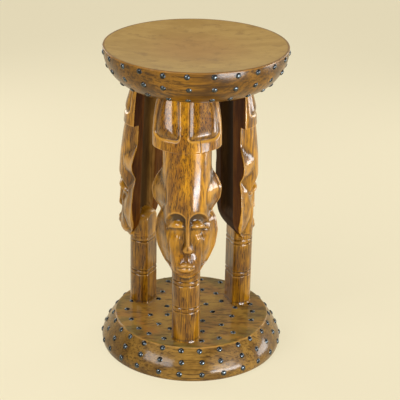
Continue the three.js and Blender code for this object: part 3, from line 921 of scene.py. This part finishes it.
def eye_carving(away, z):
    """A heavy half-closed lid in each socket, and a pouch under it."""
    line = eye_line(away)
    lid = across_lid(away)
    above = np.maximum(z - line, 0) / lid_height
    dome = np.maximum(1 - np.abs(lid) ** 2.6 - above**2, 0) ** 0.7
    pouch = np.maximum(1 - (lid + 0.12) ** 2 - ((line - z) / 0.0105 - 0.2) ** 2, 0) ** 1.3
    lids = lid_depth * dome * ease(-0.0007, 0.0005, z - line)
    return lids + 0.0026 * pouch * ease(0.0004, -0.0020, z - line)


def nose_carving(away, z):
    """A long straight nose, and the dip between it and the mouth."""
    share = face_share(z)
    width = nose_width(z)
    tip = ease(nose_tip_share - 0.022, nose_tip_share + 0.008, share)
    ridge = ease(width + 0.0042, width * 0.25, away)
    stand = mix(0.0034, 0.0012, ease(0.42, 0.8, share)) * ease(1.02, 0.86, share)
    under = ease(nose_tip_share + 0.006, nose_tip_share - 0.040, share) * ease(0.20, 0.37, share)
    return stand * tip * ridge - 0.0016 * under * ease(0.022, 0.003, away)


mouth_level = head_at(0.176)
lip_half_width = 0.0142
upper_lip_height = 0.0078
lower_lip_height = 0.0096
upper_lip_depth = 0.0034
lower_lip_depth = 0.0040


def mouth_line(x):
    """Height of the line where the lips meet: it dips at the corners."""
    return mouth_level + 0.0006 * np.cos(x / lip_half_width * math.pi * 1.2)


def lip_shapes(x, z):
    """How far both lips swell, from none at their borders to one."""
    side = np.clip(np.abs(x) / lip_half_width, 0, 1)
    envelope = np.maximum(1 - side**2.1, 0) ** 0.8
    above = z - mouth_line(x)
    upper = np.clip(above / (upper_lip_height * envelope + 0.0002), 0, 1)
    lower = np.clip(-above / (lower_lip_height * envelope + 0.0002), 0, 1)
    upper_lip = np.sin(upper**0.6 * math.pi) ** 0.9 * envelope * (1 - 0.2 * bell(x, 0, 0.0022))
    lower_lip = np.sin(lower**0.75 * math.pi) ** 0.8 * envelope
    return np.maximum(upper_lip, 0), np.maximum(lower_lip, 0)


def lip_carving(x, z):
    """Two full lips on a low mound, with a dip under them."""
    upper, lower = lip_shapes(x, z)
    mound = 0.0014 * bell(x, 0, 0.015) * bell(z, mouth_level, 0.011)
    dip = 0.0013 * bell(x, 0, 0.011) * bell(z, mouth_level - 0.0128, 0.0038)
    return upper_lip_depth * upper + lower_lip_depth * lower + mound - dip


def face_carving(x, z):
    away = beside_nose(x, z)
    eyes = socket_carving(away, z) + eye_carving(away, z)
    return eyes + nose_carving(away, z) + lip_carving(x, z)


def face_shade(x, z):
    """Painted shade in the sockets round the lids, along and under the lids' edges, at the sockets'
    outer rims, beside and under the nose, between and under the lips and over the cheeks.
    """
    share = face_share(z)
    away = beside_nose(x, z)
    inside = in_socket(away, z)
    line = eye_line(away)
    lid = across_lid(away)
    ball = np.abs(lid) ** 2.6 + (np.maximum(z - line, 0) / lid_height) ** 2
    arch = ease(-0.0006, 0.0006, inside) * ease(0.86, 1.12, ball)
    arch = arch * ease(line - 0.001, line + 0.004, z) * mix(1, 0.45, ease(0.5, 0.85, lid))
    lash = bell(z, line, 0.0009) * (np.abs(lid) < 1.05)
    shade = ease(line - 0.0085, line - 0.0015, z) * (z < line) * ease(1.25, 1.0, np.abs(lid))
    flank = bell(away, nose_width(z) + 0.0036, 0.0026) * ease(0.36, 0.44, share)
    flank = flank * ease(0.92, 0.80, share)
    rim = bell(inside, 0.0008, 0.0012) * ease(0.50, 0.62, share) * (away > 0.02)
    under = bell(x, nose_offset + 0.001, 0.0060) * bell(share, 0.335, 0.026)
    lips = bell(z, mouth_line(x), 0.0008) * (np.abs(x) < lip_half_width)
    below = bell(x, 0, 0.011) * bell(z, mouth_level - 0.0118, 0.0028)
    cheek = bell(away, 0.017, 0.008) * bell(share, 0.45, 0.07)
    eyes = [arch, lash, 0.85 * shade, 0.65 * rim]
    return np.maximum.reduce([*eyes, 0.85 * flank, 0.8 * under, lips, 0.6 * below, 0.5 * cheek])


def skin_levels(ring_share):
    """Heights of the skin's rings, closer where the carving is finer."""
    fine = np.arange(-0.004, figure_height + 0.008, 0.00005)
    spacing = np.full_like(fine, 0.0021)
    spacing[(fine > chin_level - 0.008) & (fine < brow_level + 0.008)] = 0.00085
    spacing[fine > brow_level + 0.008] = 0.0024
    spacing[fine > hat_level + 0.002] = 0.0010
    spacing[np.abs(fine - hat_level) < 0.002] = 0.00022
    spacing[np.abs(fine - hat_level - band_height) < 0.003] = 0.0005
    for share in (lower_ring_share, ring_share):
        spacing[np.abs(fine - neck_height * share) < 0.007] = 0.0008
    density = np.convolve(np.pad(1 / spacing, 40, mode="edge"), np.ones(81) / 81, mode="valid")
    total = np.cumsum(density)
    return np.interp(np.linspace(total[0], total[-1], skin_rows + 1), total, fine)


def neighbours(skin):
    """The points before and after each point of a skin's closed rings."""
    before = np.concatenate([skin[:, -2:-1], skin[:, :-1]], axis=1)
    return before, np.concatenate([skin[:, 1:], skin[:, 1:2]], axis=1)


def normals_of(skin):
    """Outward directions at each point of a skin of rows and columns."""
    before, after = neighbours(skin)
    out = np.cross((after - before) / 2, np.gradient(skin, axis=0))
    return out / np.maximum(np.linalg.norm(out, axis=2, keepdims=True), 1e-12)


def evened(skin):
    """Takes the tool marks of less than a millimetre out of a skin."""
    for _ in range(3):
        skin = sum(neighbours(skin)) / 4 + skin / 2
        inner = (skin[2:] + skin[:-2]) / 4 + skin[1:-1] / 2
        skin = np.concatenate([skin[:1], inner, skin[-1:]])
    return skin


def hollows(skin):
    """How far each point lies below the skin round it, in metres."""
    smooth = skin.copy()
    for _ in range(14):
        stacked = np.concatenate([smooth[:1], smooth, smooth[-1:]])
        smooth = (smooth + sum(neighbours(smooth)) / 2 + (stacked[2:] + stacked[:-2]) / 2) / 3
    return np.sum((smooth - skin) * normals_of(skin), axis=2)


# The face is drawn as the photograph shows it, from a little above, so its drawing slopes back.
face_front = 0.041
view_slope = 0.433
lobe_groove_depth = 0.0009
chin_groove_depth = 0.0008


def carved_skin(figure):
    """A figure's skin, as rows of points in its own frame, and marks for its materials:
    "painted_shade" for painted shade in its hollows and creases, "wear_and_highlight" for wear on
    its edges and painted highlights, "back" for the rough back, "gouge" for its hollow, "dark" for
    painted shade on the back and "face" for the face."""
    levels = skin_levels(figure["ring_share"])
    wings = [wing_width(levels, figure["notch_rise"], share) for share in figure["uncut_shares"]]
    skin = []
    creases = []
    for level, half, deep, roundness, neck, *sides in zip(
        levels, *core_shape(levels), neck_width(levels), *wings
    ):
        ring, meeting = ring_loop(level, half, deep, roundness, sides, neck, figure)
        ring = even_ring(ring)
        skin.append(np.column_stack([ring, np.full(len(ring), level)]))
        creases.append(meeting)
    skin, creases = np.array(skin), np.array(creases)
    out = normals_of(skin)
    x, y, z = skin[..., 0], skin[..., 1], skin[..., 2]
    rise, on_hat = z - chin_level, z - hat_level
    backward = out[..., 1]
    to_front = ease(0.0, 0.45, -backward)
    on_neck = ease(0.002, -0.003, rise)
    past_core = np.abs(x) - np.where(x < 0, creases[:, :1], creases[:, 1:2])
    past_chin = np.abs(x) - creases[:, 2:]
    by_chin = ease(-0.0080, -0.0072, rise) * (backward < 0.2)
    by_chin = by_chin * ease(0.016, 0.008, rise)

    seen = z + view_slope * (y - figure["set_back"] + face_front)
    carving = face_carving(x, seen) * to_front * ease(0.004, 0, z - brow_level)
    carving = carving * ease(-0.002, 0.010, rise)
    carving = carving - lobe_groove_depth * bell(past_core, 0.0002, 0.0012) * (backward < 0)
    carving = carving - chin_groove_depth * bell(past_chin, 0.0004, 0.0010) * by_chin
    carving = carving + hat_carving(x, z) * ease(-0.05, 0.3, -backward) * (on_hat > 0.001)
    carving = carving + neck_carving(np.arctan2(x, -y), z, figure["ring_share"]) * on_neck
    skin = skin + out * carving[..., None]
    skin = mix(skin, evened(skin), ease(-0.006, -0.002, rise)[..., None])

    below_hat = on_hat < 0
    on_lobe = ease(0.0, 0.003, past_core) * below_hat
    on_face = ease(0.002, 0.012, rise) * ease(0.006, -0.006, z - brow_level)
    # Painted shade: in the face's and the hat's carving, in the creases where the lobes meet the
    # head and along the chin, under the chin, on the lobes of the side away from the lamps, and
    # over the face, more on its right half where the lamps are brightest. The neck is darkened all
    # over.
    lobe_shade = np.where(x < 0, *figure["lobe_shades"]) * on_lobe * ease(-0.1, -0.3, backward)
    under_chin = bell(rise, -0.0086, 0.0009) * ease(0.010, 0.006, np.abs(x)) * to_front
    painted = np.maximum.reduce([
        face_shade(x, seen) * to_front * (rise > 0.004) * (z < brow_level),
        hat_shade(x, z) * to_front,
        0.7 * bell(past_core, 0.0002, 0.0011) * (backward < 0) * below_hat,
        lobe_shade,
        0.9 * bell(past_chin, 0.0005, 0.0009) * by_chin,
        0.9 * under_chin,
        0.34 * on_neck,
        np.where(x > 0, 0.30, 0.14) * on_face,
    ])
    # Painted shade in every hollow, the darker the deeper a point lies below the skin round it:
    # full on the front and the neck, weaker elsewhere, on the hat and on the rear figures' lobes.
    sunk = hollows(skin)
    held = to_front * (rise > 0) * mix(1, 0.25, on_hat > 0)
    held = np.maximum(held, 0.35 + 0.65 * on_neck) * mix(1, 0.4, (on_hat > 0) & (to_front > 0.5))
    held = held * mix(1, figure["lobe_cavity_shade"], on_lobe)
    painted_shade = np.maximum(ease(0.00008, 0.00065, sunk) * held, painted)

    # Paler colour: wear on the convex edges, and painted highlights on the lips, on the ledge under
    # each lock and on the chin's rim.
    lips = np.maximum(*lip_shapes(x, seen)) * to_front * (rise > 0)
    inside = lock_depth(x, z)
    ledge = ease(-0.0034, -0.0022, inside) * ease(0.0002, -0.0006, inside) * to_front
    ledge = ledge * ease(lock_bottom + 0.010, lock_bottom + 0.002, z) * (on_hat > 0.004)
    chin_rim = bell(past_chin, -0.0014, 0.0010) * by_chin
    edges = ease(0.00010, 0.0005, -sunk)
    wear_and_highlight = np.maximum.reduce([edges, 1.3 * lips, 1.4 * ledge, 1.1 * chin_rim])

    depth = head_back(levels) - nodded(levels, figure)
    behind = ease(0.1, 0.5, backward) * ease(0.004, 0.012, rise)
    behind = behind * (y < depth[:, None] + figure["set_back"] + 0.0015)
    gouged = hollow_share(skin[..., 0], levels[:, None], figure)
    across = x - hollow_middle(z, 0.3, figure)
    left_band, hollow, right_band = figure["darkened"]
    dark = mix(left_band, hollow, ease(-0.024, -0.020, across))
    dark = mix(dark, right_band, ease(0.020, 0.024, across))
    marks = {"painted_shade": painted_shade, "wear_and_highlight": wear_and_highlight, "back": behind, "gouge": gouged, "dark": dark}
    return skin, {**marks, "face": on_face}


def to_place(figure):
    """Turns and moves from a pillar's own frame to the stool's."""
    out = Matrix.Rotation(math.radians(figure["turn"]), 4, "Z")
    out = out @ Matrix.Translation((0, -figure_radius * figure["reach"], base_height + glue_line))
    return out @ Matrix.Rotation(math.radians(figure["facing"]), 4, "Z")


def figure_pillar(figure):
    """A grid is wrapped round a figure's skin, closed, leant and cut flat at both ends."""
    deselect()
    bpy.ops.mesh.primitive_grid_add(x_subdivisions=skin_columns, y_subdivisions=skin_rows, size=1)
    piece = start_piece("figure_" + figure["name"])
    places = places_of(piece)
    columns = np.rint((places[:, 0] + 0.5) * skin_columns).astype(int)
    rows = np.rint((places[:, 1] + 0.5) * skin_rows).astype(int)
    skin, marks = carved_skin(figure)
    piece.data.vertices.foreach_set("co", skin[rows, columns].ravel())
    for mark, values in marks.items():
        attribute = piece.data.attributes.new(mark, "FLOAT", "POINT")
        attribute.data.foreach_set("value", values[rows, columns])
    edit()
    bpy.ops.mesh.remove_doubles(threshold=0.000001)
    bpy.ops.mesh.normals_make_consistent(inside=False)
    stop_editing()
    piece.data.transform(Matrix.Rotation(-math.radians(figure["tilt"]), 4, "Y"))
    for level, way in ((0, -1), (pillar_height, 1)):
        edit()
        cut = {"plane_co": (0, 0, level), "plane_no": (0, 0, way)}
        bpy.ops.mesh.bisect(**cut, use_fill=True, clear_outer=True)
        stop_editing()
    piece.data.transform(to_place(figure))
    bpy.ops.object.shade_smooth_by_angle(angle=math.radians(60))
    return piece


def skin_mark(shader, name):
    return add_node(shader.id_data, "Attribute", attribute_name=name).outputs["Fac"]


# Golden-stained hardwood under gloss varnish. Dark pores and streaks run up the grain, fewer on the
# face. Painted shade darkens the carved hollows, and a paler colour gives wear and painted
# highlights.
pillar_wood, shader = new_material(
    "varnished_hardwood_figures", Coat_Weight=0.8, Coat_Roughness=0.13, Specular_IOR_Level=0.1
)
place = object_place(shader)
streaks = wood_grain(place, 0.055, 0.0042)
pores = wood_grain(place, 0.018, 0.0013, 2.0)
clouds = wood_grain(place, 0.07, 0.028, 3.0)
lines = wood_grain(place, 0.09, 0.0016, 2.0)
plain = plus(times(skin_mark(shader, "face"), -0.55), 1.0)
streaked = times(band(streaks, 0.44, 0.66, 0.0, 0.8), plain)
lined = times(band(lines, 0.53, 0.66, 0.0, 0.75), plain)
speckled = times(band(pores, 0.53, 0.61), band(clouds, 0.65, 0.45))
wood = colour_mix(band(clouds, 0.35, 0.65), "#805004", "#BA8210")
# Streaks, pores and lines of the grain, then a paler colour for wear and painted highlights, and
# painted shade last.
for share, colour in (
    (streaked, "#5E3A0C"),
    (times(speckled, 0.92), "#2C1604"),
    (lined, "#3A2206"),
    (times(skin_mark(shader, "wear_and_highlight"), 0.5), "#CF9A42"),
    (times(skin_mark(shader, "painted_shade"), 0.9), "#241303"),
):
    wood = colour_mix(share, wood, colour)
relief = plus(streaks, times(pores, 0.7))
surface(shader, wood, relief, band(streaks, 0.3, 0.7, 0.28, 0.38))

# The backs' bare wood, left rough from the gouge, in a dark reddish brown that is partly painted
# shade: darkest deep in the hollow and where each figure's settings add more.
back_wood, shader = new_material("dark_backs_with_painted_shade", Specular_IOR_Level=0.06, Roughness=0.6)
place = object_place(shader)
streaks = wood_grain(place, 0.06, 0.0040)
clouds = band(wood_grain(place, 0.07, 0.02, 3.0), 0.35, 0.65)
gouge = skin_mark(shader, "gouge")
flat = colour_mix(clouds, "#552B04", "#74440E")
bowl = colour_mix(clouds, "#5E4010", "#86602A")
stained_and_shaded_back = overlaid(
    colour_mix(band(gouge, 0.0, 0.3), flat, bowl),
    # Painted shade, darker deeper in the gouged hollow.
    ("#2A1903", gouge, 0.55, 1.0, 0.75),
    ("#2A1502", streaks, 0.45, 0.7, 0.6),
)
# Painted shade over the backs, as much as each figure's settings give.
stained_and_shaded_back = colour_mix(times(skin_mark(shader, "dark"), 0.8), stained_and_shaded_back, "#1A0C02")
surface(shader, stained_and_shaded_back, streaks)

for figure in figures:
    pillar = figure_pillar(figure)
    pillar.data.materials.append(pillar_wood)
    pillar.data.materials.append(back_wood)
    behind = [value.value for value in pillar.data.attributes["back"].data]
    for face in pillar.data.polygons:
        face.material_index = int(min(behind[i] for i in face.vertices) > 0.5)
    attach(pillar, "root")
    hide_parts("figure_pillar_" + figure["name"])

# The glued dowels that hold the pillars, in bare hardwood. They keep the solid model's shape.
peg_wood, shader = new_material("bare_hardwood_dowel", Roughness=0.7)
grain = wood_grain(object_place(shader), 0.03, 0.0015)
surface(shader, colour_mix(grain, "#B98F55", "#D9B77F"))
for name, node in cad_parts.items():
    if "_peg_" in name:
        node.data.materials.clear()
        node.data.materials.append(peg_wood)

# The tacks: domed upholstery tacks of blued steel, about nine millimetres across, hammered in rows
# round the seat and the base, and in loose rings over the base's top.
tack_radius = 0.0047
tack_rise = 0.0027
tack_sink = 0.0006
seat_tacks, seat_tack_turn = 24, -4.5
seat_tack_rows = {"upper": 0.134, "middle": 0.518, "lower": 0.89}
base_tacks, base_tack_turn = 26, -6.5
base_tack_rows = {"upper": 0.9, "middle": 0.59, "lower": 0.24}
turn_jitter = 1.2
height_jitter = 0.012

deselect()
bpy.ops.mesh.primitive_uv_sphere_add(segments=14, ring_count=10, radius=tack_radius)
tack_head = start_piece("tack_head")
edit()
bpy.ops.mesh.bisect(plane_co=(0, 0, 0), plane_no=(0, 0, -1), use_fill=True, clear_outer=True)
bpy.ops.mesh.select_all(action="SELECT")
bpy.ops.transform.resize(value=(1, 1, tack_rise / tack_radius), center_override=(0, 0, 0))
bpy.ops.mesh.normals_make_consistent(inside=False)
stop_editing()
bpy.ops.object.shade_smooth_by_angle(angle=math.radians(50))

# Blued steel, a little tarnished.
blued_steel, shader = new_material("blued_steel", Metallic=1.0, Roughness=0.24)
inputs = {"Vector": object_place(shader), "Scale": 260.0, "Detail": 3.0}
tarnish = add_node(shader.id_data, "TexNoise", inputs).outputs["Fac"]
surface(shader, colour_mix(band(tarnish, 0.35, 0.65), "#2C2E31", "#5E676E"))
tack_head.data.materials.append(blued_steel)


def tack_rows(name, places):
    """Copies the tack to each place, a matrix, and joins the copies."""
    deselect()
    for place in places:
        copy = tack_head.copy()
        copy.data = tack_head.data.copy()
        copy.data.transform(place)
        bpy.context.collection.objects.link(copy)
        copy.select_set(True)
        bpy.context.view_layer.objects.active = copy
    bpy.ops.object.join()
    piece = bpy.context.object
    piece.name = name
    piece.data.name = name
    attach(piece, "root")


def on_side(turn, radius, height, slope):
    """A place on a turned side, at a turn in degrees from the front."""
    inward, down = tack_sink * math.cos(slope), tack_sink * math.sin(slope)
    out = Matrix.Rotation(math.radians(turn), 4, "Z")
    out = out @ Matrix.Translation((0, -(radius - inward), height - down))
    return out @ Matrix.Rotation(math.pi / 2 - slope, 4, "X")


def side_rows(name, rows, count, start, radius_at, height_at):
    """Rows round a turned side, each tack a little off its mark, as by eye."""
    for row, share in rows.items():
        run = radius_at(share + 0.01) - radius_at(share - 0.01)
        rise = height_at(share + 0.01) - height_at(share - 0.01)
        slope = math.atan2(-run * math.copysign(1, rise), abs(rise))
        places = []
        for i in range(count):
            turn = 360 * i / count + start + jitter.uniform(-turn_jitter, turn_jitter)
            place = share + jitter.uniform(-height_jitter, height_jitter)
            places.append(on_side(turn, radius_at(place), height_at(place), slope))
        tack_rows(name + row, places)


jitter = random.Random(7)
side_rows("seat_tacks_", seat_tack_rows, seat_tacks, seat_tack_turn, seat_side, seat_level)
side_rows("base_tacks_", base_tack_rows, base_tacks, base_tack_turn, base_side, base_level)

# Places of the tacks on the base's top, in millimetres: the middle, an inner and an outer ring.
top_places = [
    (36, -6), (25, 21), (-41, 11), (-40, -19), (19, -38),
    (51, 33), (-56, 37), (-68, -21), (-53, -52), (-34, -67), (19, -74), (50, -51), (68, -20),
    (74, 11), (42, 61), (18, 74), (-50, 64),
    (-41, 104), (-101, 28), (-108, -2), (-99, -37), (-85, -68), (-68, -85), (-43, -100),
    (18, -106), (46, -95), (69, -76), (100, -32), (103, -2), (100, 24), (50, 104), (16, 113),
]
on_top = base_height - tack_sink
tack_rows(
    "base_tacks_top", [Matrix.Translation((x / 1000, y / 1000, on_top)) for x, y in top_places]
)
bpy.data.objects.remove(tack_head)
